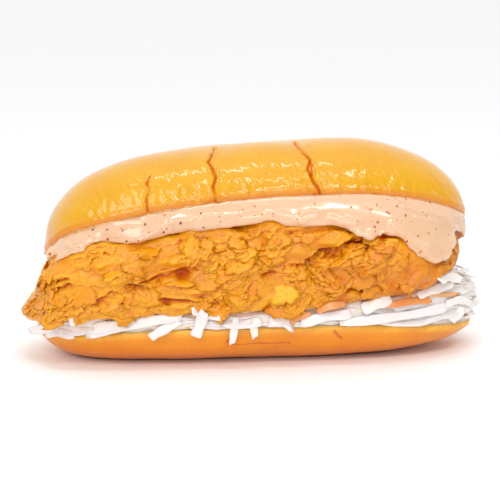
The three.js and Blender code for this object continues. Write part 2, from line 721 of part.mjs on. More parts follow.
function slawGeometry(heel, chicken) {
  const shreds = [];
  for (let i = 0; i < SLAW.frontCount + SLAW.backCount; i++) shreds.push(lyingShred(i));
  const hanging = [
    [-43, 3, 3.6, -3],
    [-27.5, 4.5, 3.4, -1],
    [-13.5, 7, 2.6, -1],
    [-5, 4, 2.2, 1],
    [39, 2.5, 3, -4],
    [66, 3, 2.6, 1],
  ];
  for (const [x, drop, width, lean] of hanging) shreds.push(hangingShred(x, drop, width, lean));
  shreds.push(endShred(v(-72, -16, 14), v(-88, -12, 9.5), 3.2));
  for (let i = 0; i < SLAW.endCount; i++) {
    const y = lerp(-21, 21, spread(i));
    const level = spread(i, 0.7548776);
    const from = v(62, y * 1.25, heelCut(62, y) + lerp(3, 11, level));
    shreds.push(endShred(from, v(lerp(78, 86, lattice(i, 1, 1)) - 0.012 * y * y, y, lerp(15, 24, level)), 3));
  }
  const heap = wasm.Manifold.union([solidOf(slawCoreGeometry()), ...shreds.map(solidOf)]);
  return clearOfFillet(heap, chicken, heel);
}

// ----------------------------------------------------------------------------------------------- the object

function piece(name, geometry, colour, roughness) {
  const material = new THREE.MeshStandardMaterial({ color: colour, roughness, metalness: 0 });
  const mesh = new THREE.Mesh(geometry, material);
  mesh.name = name;
  return mesh;
}

const roll = new THREE.Group();

const heel = heelGeometry();
roll.add(piece("bun_bottom", heel, "#dd8f3c", 0.55));

const crown = piece("bun_top", crownGeometry(), "#efb13c", 0.35);
crown.rotation.x = -degToRad(CROWN.tiltDeg);
crown.position.z = CROWN.peakHeight;
crown.updateMatrix();
roll.add(crown);

const chicken = chickenGeometry();
roll.add(piece("chicken", chicken, "#e2932c", 0.6));

roll.add(piece("slaw", slawGeometry(heel, chicken), "#f1ebe2", 0.4));

const placedCrown = crown.geometry.clone().applyMatrix4(crown.matrix);
const sauce = clearOfFillet(solidOf(sauceGeometry()), chicken, placedCrown);
roll.add(piece("sauce", sauce, "#f3c9a1", 0.2));

export default roll;
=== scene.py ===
"""The chicken hot dog's looks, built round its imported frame.

Sizes are in millimetres until a mesh is made; Blender's own unit is the metre.
+Z is up, +X runs along the bun and the open front faces -Y.
"""

from itertools import product
from math import copysign, cos, pi, radians, sin, sqrt

import bmesh
import bpy
import numpy as np
from mathutils import Matrix, Vector
from mathutils.bvhtree import BVHTree
from mathutils.kdtree import KDTree


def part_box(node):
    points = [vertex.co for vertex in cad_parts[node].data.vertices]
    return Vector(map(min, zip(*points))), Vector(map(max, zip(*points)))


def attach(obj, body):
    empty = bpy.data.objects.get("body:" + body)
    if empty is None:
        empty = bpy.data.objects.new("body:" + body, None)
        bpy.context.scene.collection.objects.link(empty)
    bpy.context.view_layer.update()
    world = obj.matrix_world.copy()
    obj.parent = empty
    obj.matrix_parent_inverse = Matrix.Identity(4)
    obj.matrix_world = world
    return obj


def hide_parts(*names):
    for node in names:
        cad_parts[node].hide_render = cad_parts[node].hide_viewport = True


MM = 0.001

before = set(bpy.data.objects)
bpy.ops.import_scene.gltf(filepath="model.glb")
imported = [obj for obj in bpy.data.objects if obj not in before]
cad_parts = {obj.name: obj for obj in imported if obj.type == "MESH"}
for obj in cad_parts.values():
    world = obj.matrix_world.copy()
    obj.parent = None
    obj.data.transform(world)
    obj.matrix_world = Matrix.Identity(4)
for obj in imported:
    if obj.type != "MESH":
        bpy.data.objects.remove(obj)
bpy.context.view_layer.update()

# --- repeatable noise


def hashed(cell, seed):
    """A fixed number from 0 to 1 for each cell, a row of whole numbers."""
    x, y, z = cell.T
    h = (x * 374761393 + y * 668265263 + z * 2147483647 + seed * 144269504) & 0xFFFFFFFF
    h = ((h ^ (h >> 13)) * 1274126177) & 0xFFFFFFFF
    h = ((h ^ (h >> 16)) * 2246822519) & 0xFFFFFFFF
    return ((h ^ (h >> 15)) & 0xFFFFFF) / 0xFFFFFF


def noise(points, size, seed):
    """Smooth noise from -1 to 1 with features about size mm across."""
    q = points / size + 100.37 + 7.13 * seed  # each seed has a place of its own
    cell = np.floor(q).astype(np.int64)
    t = q - cell
    t = t * t * (3 - 2 * t)
    total = np.zeros(len(points))
    for corner in product((0, 1), repeat=3):
        weight = np.prod(np.abs(1 - np.array(corner) - t), axis=1)
        total += weight * hashed(cell + corner, seed)
    return 2 * total - 1


def cells(points, seed):
    """How far the nearest and the next cell's centre lie, the way from the nearest, and its chance."""
    base = np.floor(points).astype(np.int64)
    nearest = np.full(len(points), np.inf)
    second = np.full(len(points), np.inf)
    offset = np.zeros_like(points)
    chance = np.zeros(len(points))
    for step in product((-1, 0, 1), repeat=3):
        cell = base + step
        centre = cell + np.stack([hashed(cell, seed + k) for k in range(3)], axis=1)
        away = points - centre
        distance = np.linalg.norm(away, axis=1)
        closer = distance < nearest
        second = np.where(closer, nearest, np.minimum(second, distance))
        nearest = np.where(closer, distance, nearest)
        offset[closer] = away[closer]
        chance = np.where(closer, hashed(cell, seed + 9), chance)
    return nearest, second, offset, chance


def warped(points, reach, size, seed):
    """The points pushed about by up to reach mm."""
    return points + reach * np.stack([noise(points, size, seed + k) for k in range(3)], axis=1)


def smoothstep(low, high, value):
    t = np.clip((value - low) / (high - low), 0, 1)
    return t * t * (3 - 2 * t)


def hill(distance, width):
    """1 at no distance, down to a third at the width and to almost 0 at twice the width."""
    return np.exp(-((distance / width) ** 2))


# --- the photograph's camera

VIEW_AZIMUTH = -7.0
VIEW_ELEVATION = 10.0
VIEW_DISTANCE = 700.0
VIEW_TARGET = Vector((-2.8, 0.0, 38.2))  # what lies at the middle of the picture
PICTURE = 500  # pixels
FOCAL_PIXELS = 1820.0
FRONT_Y = -20.0  # about where the front of the filling lies
OUTSIDE = 60.0  # mm from the origin to the side or upwards, where no piece reaches


def around(azimuth, elevation, distance):
    """The way from a target to a place that looks at it: azimuth 0 is the open front."""
    a, e = radians(azimuth), radians(elevation)
    return distance * Vector((sin(a) * cos(e), -cos(a) * cos(e), sin(e)))


EYE = VIEW_TARGET + around(VIEW_AZIMUTH, VIEW_ELEVATION, VIEW_DISTANCE)


def sight(px, py):
    """The direction in which the camera sees a pixel."""
    ahead = (VIEW_TARGET - EYE).normalized()
    right = ahead.cross(Vector((0, 0, 1))).normalized()
    up = right.cross(ahead)
    half = PICTURE / 2
    return (ahead * FOCAL_PIXELS + right * (px - half) + up * (half - py)).normalized()


def seen_at_depth(px, py, y):
    """The place that the camera sees at a pixel, y mm towards the back."""
    ray = sight(px, py)
    return EYE + ray * ((y - EYE.y) / ray.y)


def seen_on(tree, pixel):
    """The place and the normal that the camera sees on a surface at a pixel, or just misses."""
    place, normal, _, _ = tree.ray_cast(EYE, sight(*pixel))
    if place is None:
        place, normal, _, _ = tree.find_nearest(seen_at_depth(*pixel, FRONT_Y))
    return place, normal


def line_on(tree, pixels):
    """Where the camera sees the given pixels on a surface."""
    return [seen_on(tree, pixel)[0] for pixel in pixels]


def near_pixels(points, tree, places):
    """1 at the given pixels of a surface, and 0 from about twice their widths."""
    share = np.zeros(len(points))
    for pixel, width in places:
        centre = np.array(seen_on(tree, pixel)[0])
        share = np.maximum(share, hill(np.linalg.norm(points - centre, axis=1), width))
    return share


def off_line(points, line):
    """How far each point lies from a line of places, and how far above it."""
    nearest = np.full(len(points), np.inf)
    above = np.zeros(len(points))
    for start, end in zip(line, line[1:]):
        start = np.array(start)
        step = np.array(end) - start
        share = np.clip((points - start) @ step / (step @ step), 0, 1)
        away = points - start - share[:, None] * step
        distance = np.linalg.norm(away, axis=1)
        closer = distance < nearest
        nearest[closer] = distance[closer]
        above[closer] = away[closer, 2]
    return nearest, above


# --- mesh helpers


def solid(node):
    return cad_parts[node].data


def points_of(mesh):
    """In millimetres."""
    flat = np.empty(3 * len(mesh.vertices))
    mesh.vertices.foreach_get("co", flat)
    return flat.reshape(-1, 3) / MM


def normals_of(mesh):
    flat = np.empty(3 * len(mesh.vertices))
    mesh.vertex_normals.foreach_get("vector", flat)
    return flat.reshape(-1, 3)


def move_vertices(mesh, points):
    mesh.vertices.foreach_set("co", (points * MM).ravel())
    mesh.update()


def store(mesh, name, values):
    """Keeps a number per vertex for a material to read."""
    attribute = mesh.attributes.new(name, "FLOAT", "POINT")
    attribute.data.foreach_set("value", np.asarray(values, dtype=np.float32))


def new_object(name, data):
    thing = bpy.data.objects.new(name, data)
    bpy.context.collection.objects.link(thing)
    return thing


def new_piece(name, mesh, material):
    piece = new_object(name, mesh)
    mesh.materials.clear()
    mesh.materials.append(material)
    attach(piece, "root")
    return piece


def welded_copy(mesh):
    """A copy whose faces share their corners."""
    form = bmesh.new()
    form.from_mesh(mesh)
    bmesh.ops.remove_doubles(form, verts=form.verts, dist=0.002 * MM)
    copy = bpy.data.meshes.new("copy")
    form.to_mesh(copy)
    form.free()
    copy.update()
    return copy


def add_drops(mesh, drops):
    """Adds flattened balls: a centre, the way it faces, a radius and half a thickness each."""
    form = bmesh.new()
    form.from_mesh(mesh)
    for centre, facing, radius, thickness in drops:
        turn = facing.to_track_quat("Z", "Y").to_matrix().to_4x4()
        size = Matrix.Diagonal((radius, radius, thickness, 1 / MM)) * MM
        matrix = Matrix.Translation(centre * MM) @ turn @ size
        bmesh.ops.create_icosphere(form, subdivisions=3, radius=1.0, matrix=matrix)
    form.to_mesh(mesh)
    form.free()


def remeshed(node, voxel_mm, grow_mm=0.0, drops=()):
    """A fine, even copy of a node's mesh, grown outwards, with drops."""
    mesh = welded_copy(solid(node))
    if grow_mm:
        move_vertices(mesh, points_of(mesh) + grow_mm * normals_of(mesh))
    if drops:
        add_drops(mesh, drops)
    helper = new_object("helper", mesh)
    helper.modifiers.new("even", "REMESH").voxel_size = voxel_mm * MM
    graph = bpy.context.evaluated_depsgraph_get()
    result = bpy.data.meshes.new_from_object(helper.evaluated_get(graph))
    bpy.data.objects.remove(helper)
    result.shade_smooth()
    return result


def refine(mesh, chosen):
    """Splits the faces between the chosen vertices into four."""
    form = bmesh.new()
    form.from_mesh(mesh)
    edges = [edge for edge in form.edges if all(chosen[corner.index] for corner in edge.verts)]
    bmesh.ops.subdivide_edges(form, edges=edges, cuts=1, use_grid_fill=True)
    form.to_mesh(mesh)
    form.free()
    mesh.shade_smooth()


def neighbour_mean(mesh):
    """A function that takes the mean of each vertex's neighbours."""
    ends = np.empty(2 * len(mesh.edges), dtype=np.int64)
    mesh.edges.foreach_get("vertices", ends)
    first, second = ends.reshape(-1, 2).T
    size = len(mesh.vertices)
    count = np.bincount(first, minlength=size) + np.bincount(second, minlength=size)

    def mean(values):
        sums = [
            np.bincount(first, column[second], size) + np.bincount(second, column[first], size)
            for column in values.T
        ]
        return np.stack(sums, axis=1) / count[:, None]

    return mean


def relax(mesh, steps, hold=0.0, swell=0.0):
    """Smooths a mesh where hold is below 1. A swell just over 1 gives back what each step takes."""
    mean = neighbour_mean(mesh)
    points = points_of(mesh)
    give = np.reshape(0.5 * (1 - hold), (-1, 1))
    for _ in range(steps):
        points += give * (mean(points) - points)
        if swell:
            points -= swell * give * (mean(points) - points)
    move_vertices(mesh, points)


def standing_out(mesh, steps):
    """How far each vertex stands out of the smoothed surface in mm."""
    mean = neighbour_mean(mesh)
    points = points_of(mesh)
    smooth = points.copy()
    for _ in range(steps):
        smooth = mean(smooth)
    return np.sum((points - smooth) * normals_of(mesh), axis=1)


def distance_to(points, targets):
    """How far each point lies from the nearest target."""
    tree = KDTree(len(targets))
    for i, target in enumerate(targets):
        tree.insert(target, i)
    tree.balance()
    return np.array([tree.find(point)[2] for point in points])


def mesh_of(name, vertices, faces):
    """A smooth mesh of vertices in mm."""
    mesh = bpy.data.meshes.new(name)
    mesh.from_pydata((np.asarray(vertices) * MM).tolist(), [], faces)
    mesh.update()
    mesh.shade_smooth()
    return mesh


def tree_of(mesh):
    """A search tree in millimetres."""
    mesh.calc_loop_triangles()
    triangles = [tuple(t.vertices) for t in mesh.loop_triangles]
    return BVHTree.FromPolygons(points_of(mesh).tolist(), triangles)


def ring_sides(size):
    """The two corners of each side of a ring."""
    return [(k, (k + 1) % size) for k in range(size)]


class Gathered:
    """Many small closed forms for one mesh."""

    def __init__(self):
        self.vertices, self.faces, self.values = [], [], []

    def add(self, vertices, faces, values):
        """values is one number for the whole form, or one for each vertex."""
        start = len(self.vertices)
        self.vertices.extend(vertices)
        self.faces.extend([tuple(start + i for i in face) for face in faces])
        self.values.extend(np.broadcast_to(values, len(vertices)))

    def piece(self, name, attribute, material, slot):
        mesh = mesh_of(name, self.vertices, self.faces)
        store(mesh, attribute, self.values)
        return new_piece(name, mesh, material)


# --- materials


def rgb(red, green, blue):
    """The shader's colour for display values from 0 to 255."""
    shares = [c / 255 for c in (red, green, blue)]
    return tuple(c / 12.92 if c < 0.04 else ((c + 0.055) / 1.055) ** 2.4 for c in shares) + (1,)


class Nodes:
    """The node tree of a material or a world."""

    def __init__(self, owner):
        owner.use_nodes = True
        self.tree = owner.node_tree

    def node(self, kind, **settings):
        node = self.tree.nodes.new(kind)
        for key, value in settings.items():
            setattr(node, key, value)
        return node

    def link(self, source, target):
        self.tree.links.new(source, target)

    def ramp(self, source, stops):
        """Colours along a value: stops are (position, colour)."""
        ramp = self.node("ShaderNodeValToRGB")
        elements = ramp.color_ramp.elements
        while len(elements) < len(stops):
            elements.new(0.5)
        for element, (position, colour) in zip(elements, stops):
            element.position = position
            element.color = colour
        self.link(source, ramp.inputs["Fac"])
        return ramp.outputs["Color"]


class Look(Nodes):
    """A material with helpers to build its node tree."""

    def __init__(self, name, roughness, coat=0.0, coat_roughness=0.1, shine=0.5):
        self.material = bpy.data.materials.new(name)
        super().__init__(self.material)
        self.shader = self.tree.nodes["Principled BSDF"]
        self.shader.inputs["Roughness"].default_value = roughness
        self.shader.inputs["Specular IOR Level"].default_value = shine
        self.shader.inputs["Coat Weight"].default_value = coat
        self.shader.inputs["Coat Roughness"].default_value = coat_roughness

    def value(self, name):
        """A number that store() keeps on the mesh."""
        return self.node("ShaderNodeAttribute", attribute_name=name).outputs["Fac"]

    def share(self, source, low, high, most=1.0):
        """Turns a value between low and high into a share from 0 to most."""
        return self.ramp(source, [(low, (0, 0, 0, 1)), (high, (most, most, most, 1))])

    def mix(self, factor, first, second):
        """Mixes two colours, which are the node's inputs 6 and 7 and its output 2."""
        mix = self.node("ShaderNodeMix", data_type="RGBA")
        for socket, source in ((0, factor), (6, first), (7, second)):
            if isinstance(source, bpy.types.NodeSocket):
                self.link(source, mix.inputs[socket])
            else:
                mix.inputs[socket].default_value = source
        return mix.outputs[2]

    def noise(self, size_mm, detail=3, stretch=(1, 1, 1)):
        """Fine noise from 0 to 1 in the object's own space."""
        place = self.node("ShaderNodeTexCoord")
        scale = self.node("ShaderNodeMapping")
        scale.inputs["Scale"].default_value = stretch
        texture = self.node("ShaderNodeTexNoise")
        texture.inputs["Scale"].default_value = 1 / (size_mm * MM)
        texture.inputs["Detail"].default_value = detail
        self.link(place.outputs["Object"], scale.inputs["Vector"])
        self.link(scale.outputs["Vector"], texture.inputs["Vector"])
        return texture.outputs["Fac"]

    def bump(self, height, depth_mm):
        bump = self.node("ShaderNodeBump")
        bump.inputs["Distance"].default_value = depth_mm * MM
        self.link(height, bump.inputs["Height"])
        self.link(bump.outputs["Normal"], self.shader.inputs["Normal"])

    def colour(self, source):
        self.link(source, self.shader.inputs["Base Color"])

    def glow(self, weight, radius_mm):
        """Light that spreads under the surface."""
        self.shader.inputs["Subsurface Weight"].default_value = weight
        self.shader.inputs["Subsurface Radius"].default_value = [r * MM for r in radius_mm]
        self.shader.inputs["Subsurface Scale"].default_value = 1.0


def crust_look(name, colours, roughness, coat):
    """Bun crust: painted shade from low to high, a lip along the cut edge painted as shade on the crown
    and as sheen on the heel, painted shade in the cracks of the folds, and crumb.
    """
    look = Look(name, roughness, coat, 0.1, shine=0.28)
    # Painted shade: darker and more orange low down, lighter high up.
    body = look.ramp(look.value("height"), [(0.0, colours["low"]), (0.4, colours["high"])])
    patches = look.mix(look.share(look.noise(13, 2), 0.4, 0.7, 0.6), body, colours["patch"])
    freckled = look.mix(look.share(look.noise(1.1, 2), 0.56, 0.7, 0.35), patches, colours["low"])
    # Painted lip band: shade under the crown's turned-under lip, sheen along the heel's rim.
    lip_shade_and_sheen = look.mix(look.value("lip"), freckled, colours["lip"])
    # Painted shade in the creases.
    crease_shade = look.mix(look.value("painted_crease_shade"), lip_shade_and_sheen, colours["crack"])
    crumb = look.mix(look.noise(2.5, 4), rgb(250, 226, 160), rgb(255, 243, 205))
    look.colour(look.mix(look.value("crumb"), crease_shade, crumb))
    peel = look.mix(0.35, look.noise(1.6, 3), (0.5, 0.5, 0.5, 1))
    look.bump(look.mix(look.value("wrinkled"), peel, look.noise(1.1, 2, (1, 1, 0.5))), 0.3)
    look.glow(0.06, (3.0, 1.2, 0.4))
    return look.material


def fried_look(name, colours):
    """Fried crust: painted shade in red-brown crevices, painted light on golden crests, and browner
    patches.
    """
    look = Look(name, 0.4, 0.2, 0.12, shine=0.4)
    # Painted shade in the crevices and painted light on the crests, from the stored value.
    body = look.ramp(look.value("painted_light_and_tone"), colours)
    fine = look.mix(look.share(look.noise(1.4, 3), 0.45, 0.75, 0.35), body, rgb(220, 112, 6))
    look.colour(look.mix(look.value("brown"), fine, rgb(200, 98, 8)))
    look.bump(look.noise(0.8, 4), 0.3)
    return look


def chicken_look():
    # From painted shade at 0, in the crevices, up to painted light on the crests.
    colours = [
        (0.0, rgb(150, 42, 4)),
        (0.28, rgb(204, 86, 4)),
        (0.5, rgb(226, 145, 6)),
        (0.8, rgb(237, 172, 12)),
    ]
    look = fried_look("chicken crust", colours)
    look.glow(0.06, (1.0, 0.35, 0.08))
    return look.material


def flake_look():
    """Torn flakes, with painted highlight along their rims and painted shade on their undersides."""
    colours = [
        (0.0, rgb(184, 58, 4)),
        (0.25, rgb(212, 90, 6)),
        (0.5, rgb(226, 137, 6)),
        (0.75, rgb(238, 160, 10)),
        (1.0, rgb(250, 180, 24)),
    ]
    return fried_look("chicken flakes", colours).material


def dressing_look():
    look = Look("dressing", 0.22, 0.6, 0.05)
    look.colour(look.mix(look.noise(9, 2), rgb(221, 176, 138), rgb(226, 186, 150)))
    look.glow(0.15, (3.0, 1.8, 1.0))
    return look.material


def speck_look():
    look = Look("dressing specks", 0.4)
    brown, red, orange = rgb(96, 60, 70), rgb(176, 74, 44), rgb(236, 140, 50)
    look.colour(look.ramp(look.value("variety"), [(0.0, brown), (0.45, red), (0.8, orange)]))
    return look.material


def cabbage_look():
    """Wet cabbage: white, some shreds a little green or yellow."""
    look = Look("cabbage shreds", 0.3, 0.3, 0.08)
    green, cream, white = rgb(234, 231, 206), rgb(240, 231, 222), rgb(240, 234, 233)
    tints = look.ramp(look.value("variety"), [(0.0, green), (0.15, cream), (0.4, white)])
    look.colour(look.mix(look.share(look.noise(5, 3), 0.5, 0.8, 0.3), tints, rgb(246, 232, 226)))
    look.bump(look.noise(1.0, 2, (0.3, 1, 1)), 0.14)
    look.glow(0.1, (1.5, 1.4, 1.3))
    return look.material


def carrot_look():
    look = Look("carrot shreds", 0.3, 0.3, 0.1)
    look.colour(look.mix(look.value("variety"), rgb(238, 138, 62), rgb(246, 180, 122)))
    look.bump(look.noise(0.8, 2), 0.05)
    look.glow(0.25, (2.5, 1.2, 0.5))
    return look.material


def floor_look():
    look = Look("floor", 0.8)
    look.colour(look.mix(look.noise(400, 1), (0.95, 0.95, 0.95, 1), (0.97, 0.97, 0.97, 1)))
    return look.material


# --- the bun's two halves

# Creases: the pixels they run through in the photograph, and their depth and half width in mm.
CROWN_CREASES = [
    ([(150, 177), (147, 184), (149, 192), (146, 200), (149, 211)], 0.7, 0.3),
    ([(215, 148), (212, 155), (208, 162), (213, 170), (216, 178), (213, 187), (215, 201)], 1.1, 0.36),
    ([(294, 142), (298, 147), (304, 153), (310, 160), (308, 169), (313, 180), (320, 193)], 1.1, 0.36),
    ([(308, 157), (312, 166), (311, 176)], 0.6, 0.3),
]
HEEL_CREASES = [
    ([(232, 337), (227, 342), (231, 344)], 0.4, 0.3),
    ([(231, 344), (243, 345), (258, 343), (274, 344), (290, 343)], 0.25, 0.25),
    ([(334, 331), (341, 338)], 0.12, 0.25),
]
# Where the crown's crust is finely wrinkled: the pixel and the half width in mm.
WRINKLED = [
    ((382, 168), 13), ((384, 186), 12), ((130, 190), 7), ((96, 208), 9), ((180, 198), 9),
    ((262, 168), 7), ((296, 170), 7), ((240, 190), 8), ((330, 178), 8), ((436, 188), 8),
    ((215, 170), 5),
]
CROWN_TILT = radians(15)  # the crown is tipped up at the front
CUT_FACING = (0.80, 0.93)  # how nearly normals follow the cut's own, from its edge inwards
CREASE_REACH = 2.0
# Half width in mm of the painted lip band: shade on the crown, sheen on the heel.
PAINTED_LIP_WIDTH = 2.2


def cut_share(mesh, cut_way):
    """1 on the cut face, whose normal is cut_way, and 0 on the crust."""
    return smoothstep(*CUT_FACING, normals_of(mesh) @ np.array(cut_way))


def smooth_half(node, voxel_mm, creases, cut_way):
    """A half's smooth double, finer at the front and finest at its creases."""
    mesh = remeshed(node, voxel_mm)
    cut = cut_share(mesh, cut_way)
    points = points_of(mesh)
    relax(mesh, 60, hold=hill(distance_to(points, points[cut > 0.5]), 2.5))
    tree = tree_of(mesh)
    lines = [line_on(tree, pixels) for pixels, _, _ in creases]
    refine(mesh, (normals_of(mesh)[:, 1] < -0.25) & (cut < 0.5))
    points = points_of(mesh)
    refine(mesh, np.min([off_line(points, line)[0] for line in lines], axis=0) < CREASE_REACH)
    return mesh, tree, lines


def press_creases(raised, points, lines, creases):
    """Presses creases with swollen borders into a relief. Returns how far in one each point is, for the
    painted crease shade.
    """
    crease_shade = np.zeros(len(points))
    bent = warped(warped(points, 0.3, 2.5, 61), 0.15, 0.8, 67)
    for line, (_, depth, width) in zip(lines, creases):
        away, _ = off_line(bent, line)
        width = width * (1 + 0.35 * noise(points, 4, 71))
        raised += 0.35 * depth * hill(away - 3.5 * width, 1.6 * width) - depth * hill(away, width)
        # The share of painted shade, deepest in each crease and fading beside it.
        crease_shade = np.maximum(crease_shade, 0.9 * hill(away, width) + 0.25 * hill(away, 3 * width))
    return np.clip(crease_shade, 0, 1)


def crust_piece(node, name, material, voxel_mm, relief, creases, cut_way, overlap=0.0):
    """A half's double with its relief and creases. Its cut face comes down by the overlap."""
    mesh, tree, lines = smooth_half(node, voxel_mm, creases, cut_way)
    points = points_of(mesh)
    cut = cut_share(mesh, cut_way)
    crust = 1 - cut
    from_cut = distance_to(points, points[cut > 0.5])
    raised, wrinkled = relief(points, from_cut, tree)
    crease_shade = press_creases(raised, points, lines, creases)
    moved = points + normals_of(mesh) * (raised * crust)[:, None]
    moved[:, 2] += 0.5 * noise(points * (1, 0.2, 0.2), 8, 15) * hill(from_cut, 4) * crust
    moved[:, 2] -= overlap * hill(from_cut, 2)
    moved[:, 2] = np.maximum(moved[:, 2], 0)
    move_vertices(mesh, moved)
    low, high = points[:, 2].min(), points[:, 2].max()
    # The height along which the material paints shade, darker low down.
    store(mesh, "height", (points[:, 2] - low) / (high - low))
    # Painted crease shade.
    store(mesh, "painted_crease_shade", crease_shade * crust)
    # The lip band that the material paints as shade on the crown and as sheen on the heel.
    store(mesh, "lip", hill(from_cut, PAINTED_LIP_WIDTH) * crust)
    store(mesh, "wrinkled", wrinkled)
    store(mesh, "crumb", cut)
    piece = new_piece(name, mesh, material)
    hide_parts(node)


def crown_relief(points, from_cut, tree):
    """Broad lumps, a rolled lip, puckers up from it and wrinkles; and where the finest ones are."""
    x, y, z = points.T
    front = smoothstep(-4, -20, y)
    lumps = 0.45 * noise(points, 17, 1)
    lip = 0.4 * hill(from_cut - 2.0, 1.0)
    wrinkled = np.clip(near_pixels(points, tree, WRINKLED) + 0.15, 0, 1) * front
    upright = warped(points * (1, 0.3, 0.3), 0.4, 2, 12)
    puckers = 0.36 * noise(upright, 1.7, 2) * hill(from_cut - 3, 6) * wrinkled
    leaned = np.stack([x + 0.9 * z, 0.4 * y, 0.35 * (z - 0.9 * x)], axis=1)
    wrinkles = 0.22 * noise(warped(leaned, 0.7, 2.5, 8), 1.5, 3) * wrinkled
    return lumps + lip + puckers + wrinkles, wrinkled


def heel_relief(points, from_cut, tree):
    """Broad lumps, a fine grain and a rolled lip; and where it is a little wrinkled."""
    lumps = 0.4 * noise(points, 15, 4)
    grain = 0.06 * noise(points * (0.5, 1, 1), 2.0, 5)
    lip = 0.3 * hill(from_cut - 2, 1.5)
    return lumps + grain + lip, 0.1 * smoothstep(-0.2, 0.6, noise(points, 12, 7))


def crown_piece():
    colours = {
        # low: painted shade low down; lip: painted shade under the turned-under lip; the crease colour:
        # painted crease shade.
        "low": rgb(214, 134, 0),
        "high": rgb(218, 156, 0),
        "patch": rgb(221, 167, 0),
        "lip": rgb(214, 122, 12),
        "crack": rgb(212, 100, 8),
    }
    down = (0, -sin(CROWN_TILT), -cos(CROWN_TILT))
    look = crust_look("crown crust", colours, roughness=0.36, coat=0.65)
    crust_piece("bun_top", "crown_crust", look, 0.9, crown_relief, CROWN_CREASES, down, overlap=0.6)


def heel_piece():
    colours = {
        # low: painted shade low down; lip: painted sheen along the rim; the crease colour: painted
        # crease shade.
        "low": rgb(222, 116, 12),
        "high": rgb(232, 142, 22),
        "patch": rgb(220, 120, 18),
        "lip": rgb(248, 190, 70),
        "crack": rgb(196, 88, 14),
    }
    look = crust_look("heel crust", colours, roughness=0.4, coat=0.4)
    crust_piece("bun_bottom", "heel_crust", look, 0.95, heel_relief, HEEL_CREASES, (0, 0, 1))


# --- the chicken

FLAKE_CLIMB = radians(19)  # the crust's flakes climb to the right

# Ledges: their pixels, and in mm how far the crust stands out above, is cut in below, and how wide.
LEDGES = [
    ([(362, 236), (346, 242), (330, 245), (316, 250), (307, 257), (304, 263)], 2.0, 3.2, 3.2),
    ([(292, 230), (310, 226), (330, 226), (346, 230)], 0.3, 1.6, 1.6),
    ([(243, 236), (252, 244), (259, 251), (263, 260), (267, 272)], 0.8, 2.2, 2.2),
    ([(126, 282), (150, 278), (170, 271), (188, 266), (206, 262)], 1.0, 1.2, 2.6),
    ([(96, 302), (112, 292), (128, 286), (146, 286)], 0.9, 1.3, 2.2),
    ([(140, 302), (162, 297), (182, 299), (206, 300), (228, 296)], 1.0, 1.4, 2.2),
    ([(198, 293), (214, 290), (226, 283)], 0.9, 1.2, 2.0),
    ([(298, 274), (318, 270), (334, 266), (352, 262)], 0.8, 1.0, 2.4),
    ([(322, 291), (336, 293), (352, 288), (368, 291)], 0.8, 2.2, 2.0),
    ([(377, 274), (378, 284), (385, 292)], 0.5, 1.6, 1.6),
    ([(40, 285), (52, 281), (64, 279)], 0.6, 2.0, 1.6),
    ([(42, 292), (52, 290), (66, 285)], 0.6, 1.6, 1.6),
]
# Pits, cut in and painted with shade, and places where the crust is smooth: the pixel and the half
# width in mm.
PITS = [((183, 273), 2.4), ((166, 304), 1.8), ((50, 283), 2.0), ((343, 296), 2.4), ((384, 235), 2.4)]
SMOOTH = [
    ((132, 252), 14), ((110, 262), 9), ((402, 256), 12), ((322, 240), 9), ((84, 296), 6),
    ((232, 232), 8),
]
PIT_DEPTH = 2.2
# Where the crust hangs lowest: the pixel and the radius in mm.
LUMPS = [((275, 309), 2.8), ((284, 310), 3.4), ((294, 308), 3.0)]
LUMP_HANGS = 9  # pixels from a lump's middle up to the crust it hangs from
# Large plates: the pixel, length and width in mm, turn in degrees, stand-off in mm and lightness.
PLATES = [
    ((284, 293), 12.5, 9, 22, 2, 1),
    ((285, 310), 13, 7, 4, 1.2, 0.5),
    ((362, 282), 11.5, 6, 14, 1.2, 0.6),
    ((391, 286), 6.5, 5.5, 0, 0.9, 0.4),
    ((84, 296), 10, 8.5, 40, 1, 0.55),
    ((148, 252), 15, 8, 26, 0.8, 0.7),
    ((240, 262), 13, 10, 20, 1.3, 0.7),
    ((211, 266), 7, 3.5, 48, 1.2, 0.8),
    ((113, 275), 10, 4.5, 16, 1.1, 0.75),
    ((182, 283), 12, 3.5, 2, 1.2, 0.75),
    ((210, 284), 12, 4.5, 10, 1.3, 0.6),
    ((240, 297), 12, 6, -6, 1.3, 0.65),
    ((146, 299), 12, 6, 12, 1.2, 0.65),
    ((312, 262), 11, 6, 24, 1.1, 0.65),
    ((338, 262), 10, 5, 30, 1, 0.7),
    ((352, 228), 9, 4, -8, 0.9, 0.7),
    ((47, 266), 6.5, 5, 70, 1.2, 0.6),
    ((42, 284), 7, 4.5, 20, 1.4, 0.5),
    ((34, 298), 7.5, 4.5, 12, 1.4, 0.6),
    ((28, 309), 8, 4, 8, 1.2, 0.6),
    ((60, 300), 10, 6, 35, 1.1, 0.6),
]
SMALL_FLAKES = 1000
ROOT = 0.5  # mm that a plate's upper edge is sunk in the crust
# A plate's rim, face and underside: the share of its reach, and how far it lies under the rim in mm.
PLATE_RINGS = ((1.0, 0.0), (0.62, -0.12), (0.96, 0.22))


def along_flakes(points, length, width):
    """Places counted in flakes: along the climb, inwards and across it."""
    x, y, z = points.T
    along = x * cos(FLAKE_CLIMB) + z * sin(FLAKE_CLIMB)
    across = -x * sin(FLAKE_CLIMB) + z * cos(FLAKE_CLIMB)
    return np.stack([along / length, y / (0.8 * length), across / width], axis=1)


def shingles(points, length, width, seed):
    """Plates that stand out at their lower edges, about -1 to 1."""
    place = along_flakes(warped(points, 0.4 * width, 0.8 * width, seed), length, width)
    nearest, second, offset, chance = cells(place, seed)
    rim = smoothstep(0.0, 0.1, second - nearest)
    return 0.9 * (chance - 0.5) - offset[:, 2] + 0.4 * (rim - 1)


